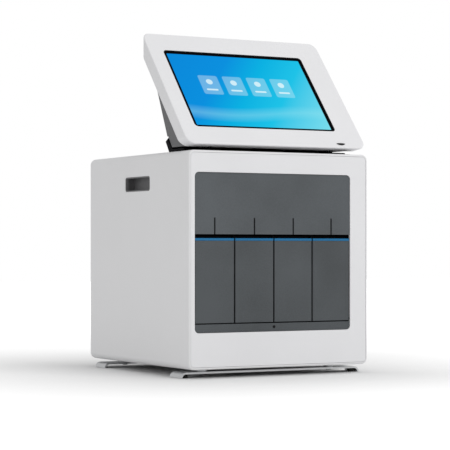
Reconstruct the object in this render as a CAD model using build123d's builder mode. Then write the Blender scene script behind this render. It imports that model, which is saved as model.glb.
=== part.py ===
from build123d import *
import os
from math import cos, radians, sin, tan

# Molecular diagnostic analyzer, in millimetres.
# Origin: on the table, at the middle of the cabinet's width and depth.
# +X to the right seen from the front, the front faces -Y, +Z up.

# Cabinet
width = 280
depth = 310
cabinet_height = 289
foot_height = 12
sleeve_wall = 3
sleeve_corner = 8.5
rear_round = 8
front_round = 2.4
rear_flange = 16

# Front panel opening and what fills it
opening_margin = 18.8
opening_head = 28.8
opening_shift = -9.8
opening_sill = 48.2
opening_corner = 6
bezel_wall = 3
bezel_collar = 2
bezel_collar_depth = 10
bezel_gap = 0.25
panel_gap = 0.5
panel_recess = 1
panel_wall = 3.2

# Doors
module_count = 4
module_slack = 0.2
door_gap = 2.1
door_thickness = 5
door_height = 109.1
door_bottom_gap = 1.4
sill_height = 10.8
light_bar_height = 3.2
light_bar_depth = 3.5
slot_height = 5.2
hinge_rod_radius = 1.2
running_gap = 0.06
slit_width = 2.3
slit_length = 22

# Bay walls and module frames
divider_wall = 1
rear_room = 110
frame_wall = 4
bay_depth = 54
bay_side_gap = 0.35
tray_wall = 2
tray_flange = 10

# Modules
plunger_radius = 3
plunger_head_radius = 6
plunger_length = 85
motor_side = 28
syringe_motor_height = 32
valve_radius = 12
valve_height = 4
valve_shaft_radius = 2.5
valve_motor_radius = 12
valve_motor_height = 22
horn_radius = 5
board_thickness = 1.6
module_board_height = 140
module_board_lift = 10
main_board_height = 140

# Rear panel and fans
rear_panel_wall = 2
rear_panel_margin = 8
fan_side = 80
fan_depth = 25
fan_spacing = 124
fan_drop = 73
fan_duct_radius = 37.5
rotor_radius = 36.3
rotor_hub_radius = 16
fan_shaft_radius = 2
blade_count = 7

# Foot rails
rail_width = 32
rail_thickness = 2.5
rail_setback = 22
rail_standoff = 4.3
pad_length = 14

# Screen housing
recline = 40.73
screen_slant = 212.6
screen_depth = 19
screen_setback = 1.25
screen_lift = 8.05
screen_wall = 2.5
screen_face_wall = 1.8
back_plate = 2.5
heel_lift = 5.4
chin_drop = 0
chin_angle = 57
screen_top_round = 10.5
screen_heel_round = 11.5
face_round = 1.6
window_border = 29.65
window_height = 145.5
window_shift = -7.8
window_slant = 104.8
window_corner = 5.5
glass_margin = 2.2
glass_thickness = 2
display_inset = 2
display_thickness = 6
key_width = 14
key_height = 3.4
key_rise = 0.9
key_gap = 0.3
key_proud = 0.6
key_inset = 39.5
key_slant = 8.4
key_travel = 1
key_clear = 0.4
key_flange_wall = 1
key_flange_side = 1.5
key_flange_rise = 1.2

# Rear pod
pod_inset = 12
pod_top_slant = 172
pod_wall = 3
pod_bottom_lift = 6.5
pod_back_lean = 25
pod_reach = 89
pod_heel_lift = 22
pod_round = 6

# Pivot base
pivot_back = 30
pivot_lift = 11
tilt_shaft_radius = 2.5
ear_radius = 4.5
ear_thickness = 6
ear_inset = 45
lug_thickness = 6
lug_radius = 5
lug_gap = 1
base_floor = 1
base_front = 16
base_inset = 10
base_flare = 3
deck_height = 4
ridge_foot = 69.8
ridge_crest = 82
ridge_height = 20
rest_pad_thickness = 1.5

# Places worked out from the sizes above
front = -depth / 2
back = depth / 2
bottom = foot_height
top = foot_height + cabinet_height
middle = (bottom + top) / 2
inner_width = width - 2 * sleeve_wall
inner_height = cabinet_height - 2 * sleeve_wall
opening_width = width - 2 * opening_margin
opening_height = cabinet_height - opening_sill - opening_head
opening_low = bottom + opening_sill
opening_high = opening_low + opening_height
opening_middle = (opening_low + opening_high) / 2
panel_front = front + panel_recess
panel_back = panel_front + panel_wall
panel_width = opening_width - 2 * panel_gap
sill_low = opening_low + panel_gap
sill_high = sill_low + sill_height
door_low = sill_high + door_bottom_gap
door_high = door_low + door_height
light_high = door_high + light_bar_height
fascia_low = light_high + slot_height
fascia_high = opening_high - panel_gap
module_pitch = (opening_width - 2 * module_slack) / module_count
door_width = module_pitch - door_gap
pin_y = panel_front + door_thickness / 2
pin_z = door_low + door_thickness / 2
door_back = panel_front + door_thickness
module_places = [
    opening_shift + module_pitch * (i - (module_count - 1) / 2) for i in range(module_count)
]
tray_top = bottom + sleeve_wall + tray_wall
divider_top = opening_high - 2
divider_back = back - rear_room
fan_height = top - fan_drop
window_width = width - 2 * window_border
key_x = width / 2 - key_inset
key_middle = key_slant + key_rise - key_height / 2
key_flange_width = key_width + 2 * key_flange_side
key_flange_height = key_height + 2 * key_flange_rise
pod_width = width - 2 * pod_inset
ear_spacing = width - 2 * ear_inset


def front_plane(y):
    """A plane that looks out of the cabinet's front, at this depth."""
    return Plane.XZ.offset(-y)


def level(z):
    """A horizontal plane at this height."""
    return Plane.XY.offset(z)


def side_plane(x):
    """A plane across the cabinet's width: its own axes are Y and Z."""
    return Plane.YZ.offset(x)


def save(builder, name):
    """Label a finished piece and write it to its own file."""
    builder.part.label = name
    export_step(builder.part, f"parts/{name}.step")


os.makedirs("parts", exist_ok=True)

# Outer sleeve: a deep white housing, open at the front, with a rear flange round the rear panel.
grip_width = 76
grip_height = 20.4
grip_corner = 4
grip_setback = 150.8
grip_drop = 40.7
grip_y = front + grip_setback
grip_z = top - grip_drop
rear_opening_corner = 5
with BuildPart() as outer_sleeve:
    with BuildSketch(front_plane(back)):
        with Locations((0, middle)):
            RectangleRounded(width, cabinet_height, sleeve_corner)
    extrude(amount=depth)
    fillet(outer_sleeve.faces().sort_by(Axis.Y)[-1].edges(), rear_round)
    fillet(outer_sleeve.faces().sort_by(Axis.Y)[0].edges(), front_round)
    with BuildPart(mode=Mode.PRIVATE) as sleeve_hollow:
        with BuildSketch(front_plane(back - sleeve_wall)):
            with Locations((0, middle)):
                RectangleRounded(inner_width, inner_height, sleeve_corner - sleeve_wall)
        extrude(amount=depth)
        fillet(sleeve_hollow.faces().sort_by(Axis.Y)[-1].edges(), rear_round - sleeve_wall)
    add(sleeve_hollow.part, mode=Mode.SUBTRACT)
    with BuildSketch(front_plane(back)):
        with Locations((0, middle)):
            RectangleRounded(
                width - 2 * rear_flange, cabinet_height - 2 * rear_flange, rear_opening_corner
            )
    extrude(amount=sleeve_wall * 2, mode=Mode.SUBTRACT)
    with BuildSketch(side_plane(-width / 2)):
        with Locations((grip_y, grip_z)):
            RectangleRounded(grip_width, grip_height, grip_corner)
    extrude(amount=width, mode=Mode.SUBTRACT)
save(outer_sleeve, "outer_sleeve")

# Hand-hold pockets: cups whose collars line the openings, with room that rises inside for the fingers.
pocket_wall = 2
pocket_depth = 12
pocket_rise = 8
pocket_room = 1
collar_wall = 1.4
collar_gap = 0.2
collar_recess = 0.3
collar_width = grip_width - 2 * collar_gap
collar_height = grip_height - 2 * collar_gap
collar_corner = grip_corner - collar_gap
for side, name in ((-1, "handle_pocket_left"), (1, "handle_pocket_right")):
    wall_x = side * (width / 2 - sleeve_wall)
    with BuildPart() as handle_pocket:
        with BuildSketch(side_plane(wall_x)):
            with Locations((grip_y, grip_z + pocket_rise / 2)):
                RectangleRounded(
                    grip_width + 2 * (pocket_wall + pocket_room),
                    grip_height + 2 * (pocket_wall + pocket_room) + pocket_rise,
                    grip_corner + pocket_wall,
                )
        extrude(amount=-side * (pocket_depth + pocket_wall))
        with BuildSketch(side_plane(wall_x - side * pocket_wall)):
            with Locations((grip_y, grip_z + pocket_rise / 2)):
                RectangleRounded(
                    grip_width + 2 * pocket_room, grip_height + 2 * pocket_room + pocket_rise, grip_corner
                )
        extrude(amount=-side * (pocket_depth - pocket_wall), mode=Mode.SUBTRACT)
        with BuildSketch(side_plane(wall_x)):
            with Locations((grip_y, grip_z)):
                RectangleRounded(collar_width, collar_height, collar_corner)
        extrude(amount=side * (sleeve_wall - collar_recess))
        with BuildSketch(side_plane(side * width / 2)):
            with Locations((grip_y, grip_z)):
                RectangleRounded(
                    collar_width - 2 * collar_wall,
                    collar_height - 2 * collar_wall,
                    collar_corner - collar_wall,
                )
        extrude(amount=-side * (sleeve_wall + pocket_wall + 1), mode=Mode.SUBTRACT)
    save(handle_pocket, name)

# Front bezel: a flat frame inside the sleeve's rim, with an outer flange and a collar round the opening.
bezel_width = inner_width - 2 * bezel_gap
bezel_height = inner_height - 2 * bezel_gap
bezel_corner = sleeve_corner - sleeve_wall - bezel_gap
bezel_flange = 12
bezel_edge = 0.3
with BuildPart() as front_bezel:
    with BuildSketch(front_plane(front)):
        with Locations((0, middle)):
            RectangleRounded(bezel_width, bezel_height, bezel_corner)
    extrude(amount=-bezel_wall)
    with BuildSketch(front_plane(front + bezel_wall)):
        with Locations((0, middle)):
            RectangleRounded(bezel_width, bezel_height, bezel_corner)
            RectangleRounded(
                bezel_width - 2 * bezel_collar,
                bezel_height - 2 * bezel_collar,
                bezel_corner - bezel_collar,
                mode=Mode.SUBTRACT,
            )
    extrude(amount=-bezel_flange)
    with BuildSketch(front_plane(front + bezel_wall)):
        with Locations((opening_shift, opening_middle)):
            RectangleRounded(
                opening_width + 2 * bezel_collar,
                opening_height + 2 * bezel_collar,
                opening_corner + bezel_collar,
            )
    extrude(amount=-(bezel_collar_depth - bezel_wall))
    with BuildSketch(front_plane(front)):
        with Locations((opening_shift, opening_middle)):
            RectangleRounded(opening_width, opening_height, opening_corner)
    extrude(amount=-bezel_collar_depth * 2, mode=Mode.SUBTRACT)
    chamfer(front_bezel.faces().sort_by(Axis.Y)[0].outer_wire().edges(), bezel_edge)
save(front_bezel, "front_bezel")

# Upper fascia: the dark plate over the doors, with a slit over the middle of each door.
with BuildPart() as upper_fascia:
    with BuildSketch(front_plane(panel_front)) as fascia_outline:
        with Locations((opening_shift, (fascia_low + fascia_high) / 2)):
            Rectangle(panel_width, fascia_high - fascia_low)
        fillet(fascia_outline.vertices().group_by(Axis.Y)[-1], opening_corner - panel_gap)
        with Locations(*[(x, fascia_low + slit_length / 2) for x in module_places]):
            Rectangle(slit_width, slit_length, mode=Mode.SUBTRACT)
    extrude(amount=-panel_wall)
save(upper_fascia, "upper_fascia")

# Status lenses: a dark light bar in each slit.
lens_gap = 0.1
lens_recess = 1.2
with BuildPart() as status_lenses:
    with BuildSketch(front_plane(panel_front + lens_recess)):
        with Locations(*[(x, fascia_low + slit_length / 2) for x in module_places]):
            Rectangle(slit_width - 2 * lens_gap, slit_length - 2 * lens_gap)
    extrude(amount=-(panel_wall - lens_recess))
save(status_lenses, "status_lenses")

# Sill strip: the dark strip under the doors, with its small round window.
sill_window_radius = 1.1
sill_window_rise = 0.4
with BuildPart() as sill_strip:
    with BuildSketch(front_plane(panel_front)) as sill_outline:
        with Locations((opening_shift, (sill_low + sill_high) / 2)):
            Rectangle(panel_width, sill_height)
        fillet(sill_outline.vertices().group_by(Axis.Y)[0], opening_corner - panel_gap)
        with Locations((opening_shift, (sill_low + sill_high) / 2 + sill_window_rise)):
            Circle(sill_window_radius, mode=Mode.SUBTRACT)
    extrude(amount=-panel_wall)
save(sill_strip, "sill_strip")

# Doors: moulded covers with a rim and two ribs behind, bored along the bottom for the hinge rod.
door_rim = 4
door_skin = 2.6
door_edge = 0.5
catch_width = 10
catch_reach = 6.5
for index, x in enumerate(module_places, 1):
    with BuildPart() as door:
        with BuildSketch(front_plane(panel_front)):
            with Locations((x, (door_low + door_high) / 2)):
                Rectangle(door_width, door_height)
        extrude(amount=-door_thickness)
        chamfer(door.faces().sort_by(Axis.Y)[0].edges(), door_edge)
        with BuildSketch(front_plane(door_back)):
            with Locations((x, (door_low + door_high) / 2 + 2)):
                with GridLocations((door_width - 2 * door_rim + 1.5) / 3, 0, 3, 1):
                    Rectangle((door_width - 2 * door_rim - 3) / 3, door_height - 2 * door_rim - 4)
        extrude(amount=door_thickness - door_skin, mode=Mode.SUBTRACT)
        with BuildSketch(side_plane(x)):
            with BuildLine():
                Polyline(
                    (door_back, door_high - door_rim),
                    (door_back + catch_reach, door_high - door_rim + 0.5),
                    (door_back + catch_reach, door_high - 1),
                    (door_back + catch_reach - 2, door_high - 1),
                    (door_back + catch_reach - 2.6, door_high - 2),
                    (door_back, door_high - 2),
                    close=True,
                )
            make_face()
        extrude(amount=catch_width / 2, both=True)
        with BuildSketch(side_plane(x)):
            with Locations((pin_y, pin_z)):
                Circle(hinge_rod_radius + running_gap)
        extrude(amount=door_width, both=True, mode=Mode.SUBTRACT)
    save(door, f"door_{index}")

    with BuildPart() as door_light:
        with BuildSketch(front_plane(panel_front)):
            with Locations((x, door_high + light_bar_height / 2)):
                Rectangle(door_width, light_bar_height)
        extrude(amount=-light_bar_depth)
        chamfer(door_light.edges().filter_by(Axis.X).group_by(Axis.Z)[-1].sort_by(Axis.Y)[0], 0.6)
    save(door_light, f"door_light_{index}")

# Hinge rod: one rod through all four doors and the bay dividers' ears.
divider_places = [opening_shift + module_pitch * (i - module_count / 2) for i in range(module_count + 1)]
edge_inset = 0.3
divider_places[0] += edge_inset
divider_places[-1] -= edge_inset
rod_length = divider_places[-1] - divider_places[0] + divider_wall
with BuildPart() as door_hinge_rod:
    with BuildSketch(side_plane(opening_shift)):
        with Locations((pin_y, pin_z)):
            Circle(hinge_rod_radius)
    extrude(amount=rod_length / 2, both=True)
save(door_hinge_rod, "door_hinge_rod")

# Bay dividers: upright sheets between the modules, each with an ear that carries the hinge rod.
ear_nose = 2
divider_inset = 2
tray_front = front + bezel_wall + bezel_flange + 0.5
lower_front = tray_front + tray_wall + 0.5
collar_back = front + bezel_collar_depth + 0.5
corner_clear = opening_corner + 1
shoulder_drop = 20.3
shoulder_reach = 45.8
rear_shoulder = grip_y - shoulder_reach
shoulder_top = grip_z - shoulder_drop
with BuildPart() as bay_dividers:
    with BuildSketch(side_plane(divider_places[0] - divider_wall / 2)):
        with BuildLine():
            Polyline(
                (lower_front, tray_top),
                (divider_back, tray_top),
                (divider_back, shoulder_top),
                (rear_shoulder, shoulder_top),
                (rear_shoulder, divider_top),
                (collar_back, divider_top),
                (collar_back, opening_high - corner_clear),
                (panel_back, opening_high - corner_clear),
                (panel_back, fascia_low - 2),
                (panel_front + divider_inset, fascia_low - 2),
                (panel_front + divider_inset, sill_high),
                (panel_back, sill_high),
                (panel_back, opening_low + corner_clear),
                (lower_front, opening_low + corner_clear),
                close=True,
            )
        make_face()
        with Locations((pin_y, pin_z)):
            Circle(ear_nose)
            Circle(hinge_rod_radius + running_gap, mode=Mode.SUBTRACT)
    extrude(amount=divider_wall)
    first_divider = bay_dividers.part
    for place in divider_places[1:]:
        add(Pos(place - divider_places[0], 0, 0) * first_divider)
save(bay_dividers, "bay_dividers")

# Chassis tray: the folded steel floor that the modules and the power supply stand on.
with BuildPart() as chassis_tray:
    with BuildSketch(side_plane(0)):
        with BuildLine():
            Polyline(
                (tray_front, tray_top + tray_flange),
                (tray_front, tray_top - tray_wall),
                (back - 12, tray_top - tray_wall),
                (back - 12, tray_top + tray_flange),
                (back - 12 - tray_wall, tray_top + tray_flange),
                (back - 12 - tray_wall, tray_top),
                (tray_front + tray_wall, tray_top),
                (tray_front + tray_wall, tray_top + tray_flange),
                close=True,
            )
        make_face()
    extrude(amount=inner_width / 2 - sleeve_corner + sleeve_wall - 0.3, both=True)
save(chassis_tray, "chassis_tray")

# Modules behind the doors.
frame_front = door_back + 2
frame_back = frame_front + bay_depth
floor_top = door_low + 1.6
ceiling_low = door_high + 2
frame_width = module_pitch - divider_wall - 2 * bay_side_gap
drive_y = frame_front + 26
horn_y = drive_y + 18
foot_length = 34
tube_slot_low = floor_top + 26
tube_slot_height = 26
tube_slot_width = 8
block_width = 28
block_height = 44
block_depth = 12
fin_reach = 12
fin_count = 5
for index, x in enumerate(module_places, 1):
    with BuildPart() as module_frame:
        with BuildSketch(side_plane(x)):
            with BuildLine():
                Polyline(
                    (frame_front, floor_top),
                    (frame_back, floor_top),
                    (frame_back, ceiling_low),
                    (frame_front, ceiling_low),
                    (frame_front, ceiling_low + frame_wall),
                    (frame_back + frame_wall, ceiling_low + frame_wall),
                    (frame_back + frame_wall, tray_top + frame_wall),
                    (frame_back + foot_length, tray_top + frame_wall),
                    (frame_back + foot_length, tray_top),
                    (frame_back, tray_top),
                    (frame_back, floor_top - frame_wall),
                    (frame_front, floor_top - frame_wall),
                    close=True,
                )
            make_face()
        extrude(amount=frame_width / 2, both=True)
        with BuildSketch(level(ceiling_low)):
            with Locations((x, drive_y)):
                Circle(plunger_head_radius + 1)
        extrude(amount=frame_wall, mode=Mode.SUBTRACT)
        with BuildSketch(level(floor_top)):
            with Locations((x, drive_y)):
                Circle(valve_shaft_radius + running_gap)
            with Locations((x, horn_y)):
                Circle(horn_radius + 0.3)
        extrude(amount=-frame_wall, mode=Mode.SUBTRACT)
        with BuildSketch(front_plane(frame_back)):
            with Locations((x, tube_slot_low + tube_slot_height / 2)):
                Rectangle(tube_slot_width, tube_slot_height)
        extrude(amount=-frame_wall, mode=Mode.SUBTRACT)
    save(module_frame, f"module_frame_{index}")

    # Plunger: a push rod with a flat head, which hangs in the syringe motor.
    with BuildPart() as plunger:
        with BuildSketch(front_plane(drive_y)):
            with BuildLine():
                Polyline(
                    (x, ceiling_low),
                    (x + plunger_head_radius, ceiling_low),
                    (x + plunger_head_radius, ceiling_low + frame_wall),
                    (x + plunger_radius, ceiling_low + frame_wall),
                    (x + plunger_radius, ceiling_low + plunger_length),
                    (x, ceiling_low + plunger_length),
                    close=True,
                )
            make_face()
        revolve(axis=Axis((x, drive_y, 0), (0, 0, 1)))
    save(plunger, f"plunger_{index}")

    # Valve drive: a disc with four driving dogs on a shaft.
    with BuildPart() as valve_drive:
        with BuildSketch(level(floor_top + 0.3)):
            with Locations((x, drive_y)):
                Circle(valve_radius)
        extrude(amount=valve_height)
        with BuildSketch(level(floor_top + 0.3 + valve_height)):
            with Locations((x, drive_y)):
                with PolarLocations(valve_radius - 3.5, 4):
                    Rectangle(4, 2.4)
        extrude(amount=0.8)
        with BuildSketch(level(floor_top + 0.3)):
            with Locations((x, drive_y)):
                Circle(valve_shaft_radius)
        extrude(amount=-(frame_wall + valve_motor_height - 2))
    save(valve_drive, f"valve_drive_{index}")

with BuildPart() as syringe_motors:
    with BuildSketch(level(ceiling_low + frame_wall)):
        with Locations(*[(x, drive_y) for x in module_places]):
            RectangleRounded(motor_side, motor_side, 3)
            Circle(plunger_radius + running_gap, mode=Mode.SUBTRACT)
    extrude(amount=syringe_motor_height)
save(syringe_motors, "syringe_motors")

with BuildPart() as valve_motors:
    with BuildSketch(level(floor_top - frame_wall)):
        with Locations(*[(x, drive_y) for x in module_places]):
            Circle(valve_motor_radius)
            Circle(valve_shaft_radius + running_gap, mode=Mode.SUBTRACT)
    extrude(amount=-valve_motor_height)
save(valve_motors, "valve_motors")

# Ultrasonic horns: stepped rods that carry the sound up to the bay's floor.
horn_tip = floor_top + 0.5
horn_foot_width = 16
horn_foot_depth = 10
horn_foot_wall = 6
with BuildPart() as horn:
    with BuildSketch(front_plane(horn_y)):
        with BuildLine():
            Polyline(
                (0, horn_tip),
                (horn_radius - 1, horn_tip),
                (horn_radius, horn_tip - 1),
                (horn_radius, horn_tip - 10),
                (horn_radius, tray_top + horn_foot_wall),
                (0, tray_top + horn_foot_wall),
                close=True,
            )
        make_face()
    revolve(axis=Axis((0, horn_y, 0), (0, 0, 1)))
with BuildPart() as ultrasonic_horns:
    for x in module_places:
        add(Pos(x, 0, 0) * horn.part)
    with BuildSketch(level(tray_top)):
        with Locations(*[(x, horn_y) for x in module_places]):
            Rectangle(horn_foot_width, horn_foot_depth)
    extrude(amount=horn_foot_wall)
save(ultrasonic_horns, "ultrasonic_horns")

# Thermal blocks: finned blocks behind the bay's back wall, slotted for the reaction tube.
block_low = tube_slot_low - (block_height - tube_slot_height) / 2
block_front = frame_back + frame_wall
with BuildPart() as thermal_blocks:
    with BuildSketch(level(block_low)):
        with Locations(*[(x, block_front + block_depth / 2) for x in module_places]):
            Rectangle(block_width, block_depth)
        with Locations(*[(x, block_front + block_depth + fin_reach / 2) for x in module_places]):
            with GridLocations((block_width - 2) / (fin_count - 1), 0, fin_count, 1):
                Rectangle(2, fin_reach)
    extrude(amount=block_height)
    with BuildSketch(front_plane(block_front)):
        with Locations(*[(x, tube_slot_low + tube_slot_height / 2) for x in module_places]):
            Rectangle(tube_slot_width, tube_slot_height)
    extrude(amount=-(block_depth - 3), mode=Mode.SUBTRACT)
save(thermal_blocks, "thermal_blocks")

# Module boards: one circuit board on the left wall of each bay, behind the module frame.
board_gap = 4
board_y = frame_back + foot_length + board_gap
module_board_z = tray_top + module_board_lift + module_board_height / 2
with BuildPart() as module_boards:
    for place in divider_places[:-1]:
        with BuildSketch(side_plane(place + divider_wall / 2)):
            with Locations(((board_y + divider_back - board_gap) / 2, module_board_z)):
                Rectangle(divider_back - board_y - board_gap, module_board_height)
        extrude(amount=board_thickness)
save(module_boards, "module_boards")

# Main board: across the rear edges of the bay dividers.
main_board_width = opening_width - 4
main_board_z = shoulder_top - main_board_height / 2 - 2
chip_width = 24
chip_height = 16
chip_rise = 6
with BuildPart() as main_board:
    with BuildSketch(front_plane(divider_back)):
        with Locations((opening_shift, main_board_z)):
            Rectangle(main_board_width, main_board_height)
    extrude(amount=-board_thickness)
    with BuildSketch(front_plane(divider_back + board_thickness)):
        with Locations((opening_shift, main_board_z)):
            with GridLocations(main_board_width * 0.3, main_board_height * 0.43, 3, 2):
                Rectangle(chip_width, chip_height)
    extrude(amount=-chip_rise)
save(main_board, "main_board")

# Power supply: a closed steel box on the tray.
supply_length = 110
supply_width = 72
supply_height = 55
supply_corner = 2
supply_side_gap = 12
inlet_depth = 24
inlet_clear = 1
supply_x = supply_side_gap + (supply_length - inner_width) / 2
supply_y = back - sleeve_wall - inlet_depth - inlet_clear - supply_width / 2
with BuildPart() as power_supply:
    with BuildSketch(level(tray_top)):
        with Locations((supply_x, supply_y)):
            RectangleRounded(supply_length, supply_width, supply_corner)
    extrude(amount=supply_height)
save(power_supply, "power_supply")

# Rear panel: a plate behind the sleeve's flange, with two fan openings and the sockets' cut-outs.
panel_y = back - sleeve_wall
inlet_inset = 62
inlet_lift = 46
inlet_x = -(width / 2 - inlet_inset)
inlet_z = bottom + inlet_lift
inlet_width = 62
inlet_height = 28
port_inset = 70
port_x = width / 2 - port_inset
port_width = 18
port_height = 15
vent_count = 17
vent_pitch = 10
vent_length = 24
vent_width = 4
vent_z = (fan_height - fan_side / 2 + inlet_z + inlet_height / 2) / 2
fan_places = [(-fan_spacing / 2, fan_height), (fan_spacing / 2, fan_height)]
with BuildPart() as rear_panel:
    with BuildSketch(front_plane(panel_y)):
        with Locations((0, middle)):
            RectangleRounded(
                width - 2 * rear_flange + 2 * rear_panel_margin,
                cabinet_height - 2 * rear_flange + 2 * rear_panel_margin,
                6,
            )
        with Locations(*fan_places):
            Circle(fan_duct_radius, mode=Mode.SUBTRACT)
        with Locations((inlet_x, inlet_z)):
            Rectangle(inlet_width, inlet_height, mode=Mode.SUBTRACT)
        with Locations((port_x, inlet_z)):
            Rectangle(port_width, port_height, mode=Mode.SUBTRACT)
        with Locations((0, vent_z)):
            with GridLocations(vent_pitch, 0, vent_count, 1):
                SlotOverall(vent_length, vent_width, rotation=90, mode=Mode.SUBTRACT)
    extrude(amount=rear_panel_wall)
save(rear_panel, "rear_panel")

rotor_depth = 18

# Fan frames: square frames with a round duct and four struts to the motor mount.
fan_back = panel_y - rear_panel_wall
mount_depth = 3
with BuildPart() as fan_frames:
    with BuildSketch(front_plane(fan_back)):
        with Locations(*fan_places):
            RectangleRounded(fan_side, fan_side, 4)
            Circle(fan_duct_radius, mode=Mode.SUBTRACT)
    extrude(amount=fan_depth)
    with BuildSketch(front_plane(fan_back)):
        with Locations(*fan_places):
            Circle(rotor_hub_radius - 1)
            Rectangle(2 * fan_duct_radius + 2, 4, rotation=45)
            Rectangle(2 * fan_duct_radius + 2, 4, rotation=-45)
    extrude(amount=mount_depth)
    with BuildSketch(front_plane(fan_back - mount_depth)):
        with Locations(*fan_places):
            Circle(fan_shaft_radius)
    extrude(amount=rotor_depth - 3)
save(fan_frames, "fan_frames")

# Fan rotors: a hub with twisted blades on the frame's shaft.
rotor_back = fan_back - mount_depth - 0.3
for (fan_x, fan_z), name in zip(fan_places, ("fan_rotor_left", "fan_rotor_right")):
    with BuildPart() as fan_rotor:
        with BuildSketch(front_plane(rotor_back)):
            with Locations((fan_x, fan_z)):
                Circle(rotor_hub_radius)
        extrude(amount=rotor_depth)
        blade_root = Plane(
            origin=(fan_x + rotor_hub_radius - 1.5, rotor_back - rotor_depth / 2, fan_z), z_dir=(1, 0, 0)
        )
        blade_tip = blade_root.offset(rotor_radius - rotor_hub_radius + 1.5)
        with BuildSketch(blade_root):
            Rectangle(15, 1.4, rotation=-42)
        with BuildSketch(blade_tip):
            Rectangle(17, 1.2, rotation=-62)
        blade = loft(mode=Mode.PRIVATE)
        for turn in range(blade_count):
            spin = Axis((fan_x, 0, fan_z), (0, 1, 0))
            add(blade.rotate(spin, turn * 360 / blade_count))
        with BuildSketch(front_plane(rotor_back)):
            with Locations((fan_x, fan_z)):
                Circle(fan_shaft_radius + running_gap)
        extrude(amount=rotor_depth - 3, mode=Mode.SUBTRACT)
    save(fan_rotor, name)

# Fan guards: pressed rings on four spokes, against the outside of the rear panel.
guard_wall = 1.4
ring_width = 2
ring_step = 9
with BuildPart() as fan_guards:
    with BuildSketch(front_plane(panel_y + guard_wall)):
        with Locations(*fan_places):
            for ring in range(4):
                outer = fan_duct_radius + 2.5 - ring * ring_step
                Circle(outer)
                Circle(outer - ring_width, mode=Mode.SUBTRACT)
            Circle(5)
            Rectangle(2 * fan_duct_radius + 2, 2)
            Rectangle(2, 2 * fan_duct_radius + 2)
    extrude(amount=guard_wall)
save(fan_guards, "fan_guards")

# Power inlet: a flanged socket with three blades and a rocker opening beside it.
inlet_body_width = inlet_width - 1
inlet_body_height = inlet_height - 1
flange_wall = 1.5
socket_width = 24
socket_height = 16
socket_depth = 17
blade_reach = 11
socket_x = inlet_x - 14
switch_x = inlet_x + 17
switch_width = 14
switch_height = 22
switch_depth = 14
with BuildPart() as power_inlet:
    with BuildSketch(front_plane(panel_y)):
        with Locations((inlet_x, inlet_z)):
            Rectangle(inlet_body_width, inlet_body_height)
    extrude(amount=inlet_depth)
    with BuildSketch(front_plane(panel_y)):
        with Locations((inlet_x, inlet_z)):
            RectangleRounded(inlet_width + 5, inlet_height + 5, 2)
    extrude(amount=-flange_wall)
    with BuildSketch(front_plane(panel_y + flange_wall)):
        with Locations((socket_x, inlet_z)):
            Rectangle(socket_width, socket_height)
    extrude(amount=socket_depth, mode=Mode.SUBTRACT)
    with BuildSketch(front_plane(panel_y + flange_wall)):
        with Locations((switch_x, inlet_z)):
            Rectangle(switch_width, switch_height)
    extrude(amount=switch_depth, mode=Mode.SUBTRACT)
    with BuildSketch(front_plane(panel_y + flange_wall - socket_depth)):
        with Locations((socket_x, inlet_z + 2.5), (socket_x - 7, inlet_z - 2), (socket_x + 7, inlet_z - 2)):
            Rectangle(2, 4.5)
    extrude(amount=-blade_reach)
save(power_inlet, "power_inlet")

# Rocker switch: two faces at an angle, resting with its lower end in.
rocker_angle = 7
rocker_gap = 0.8
rocker_y = panel_y - 4.5
rocker_half = switch_height / 2 - rocker_gap
with BuildPart() as power_switch:
    with BuildSketch(side_plane(switch_x)):
        with BuildLine():
            Polyline(
                (rocker_y - 4, inlet_z - 4),
                (rocker_y + 2.5, inlet_z - rocker_half),
                (rocker_y + 5.8, inlet_z - rocker_half),
                (rocker_y + 4.5, inlet_z),
                (rocker_y + 5.8, inlet_z + rocker_half),
                (rocker_y + 2.5, inlet_z + rocker_half),
                (rocker_y - 4, inlet_z + 4),
                close=True,
            )
        make_face()
    extrude(amount=switch_width / 2 - 0.4, both=True)
    with BuildSketch(side_plane(switch_x)):
        with Locations((rocker_y, inlet_z)):
            Circle(1.5)
    extrude(amount=switch_width / 2 - 0.05, both=True)
rocker_axis = Axis((switch_x, rocker_y, inlet_z), (1, 0, 0))
power_switch.part = power_switch.part.rotate(rocker_axis, -rocker_angle)
save(power_switch, "power_switch")

# Data port: a shielded network jack in the rear panel.
port_depth = 20
with BuildPart() as data_port:
    with BuildSketch(front_plane(panel_y)):
        with Locations((port_x, inlet_z)):
            Rectangle(port_width, port_height)
            Rectangle(port_width - 5, port_height - 5, mode=Mode.SUBTRACT)
    extrude(amount=port_depth)
    with BuildSketch(front_plane(panel_y - port_depth + 4)):
        with Locations((port_x, inlet_z)):
            Rectangle(port_width, port_height)
    extrude(amount=4)
save(data_port, "data_port")

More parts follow.
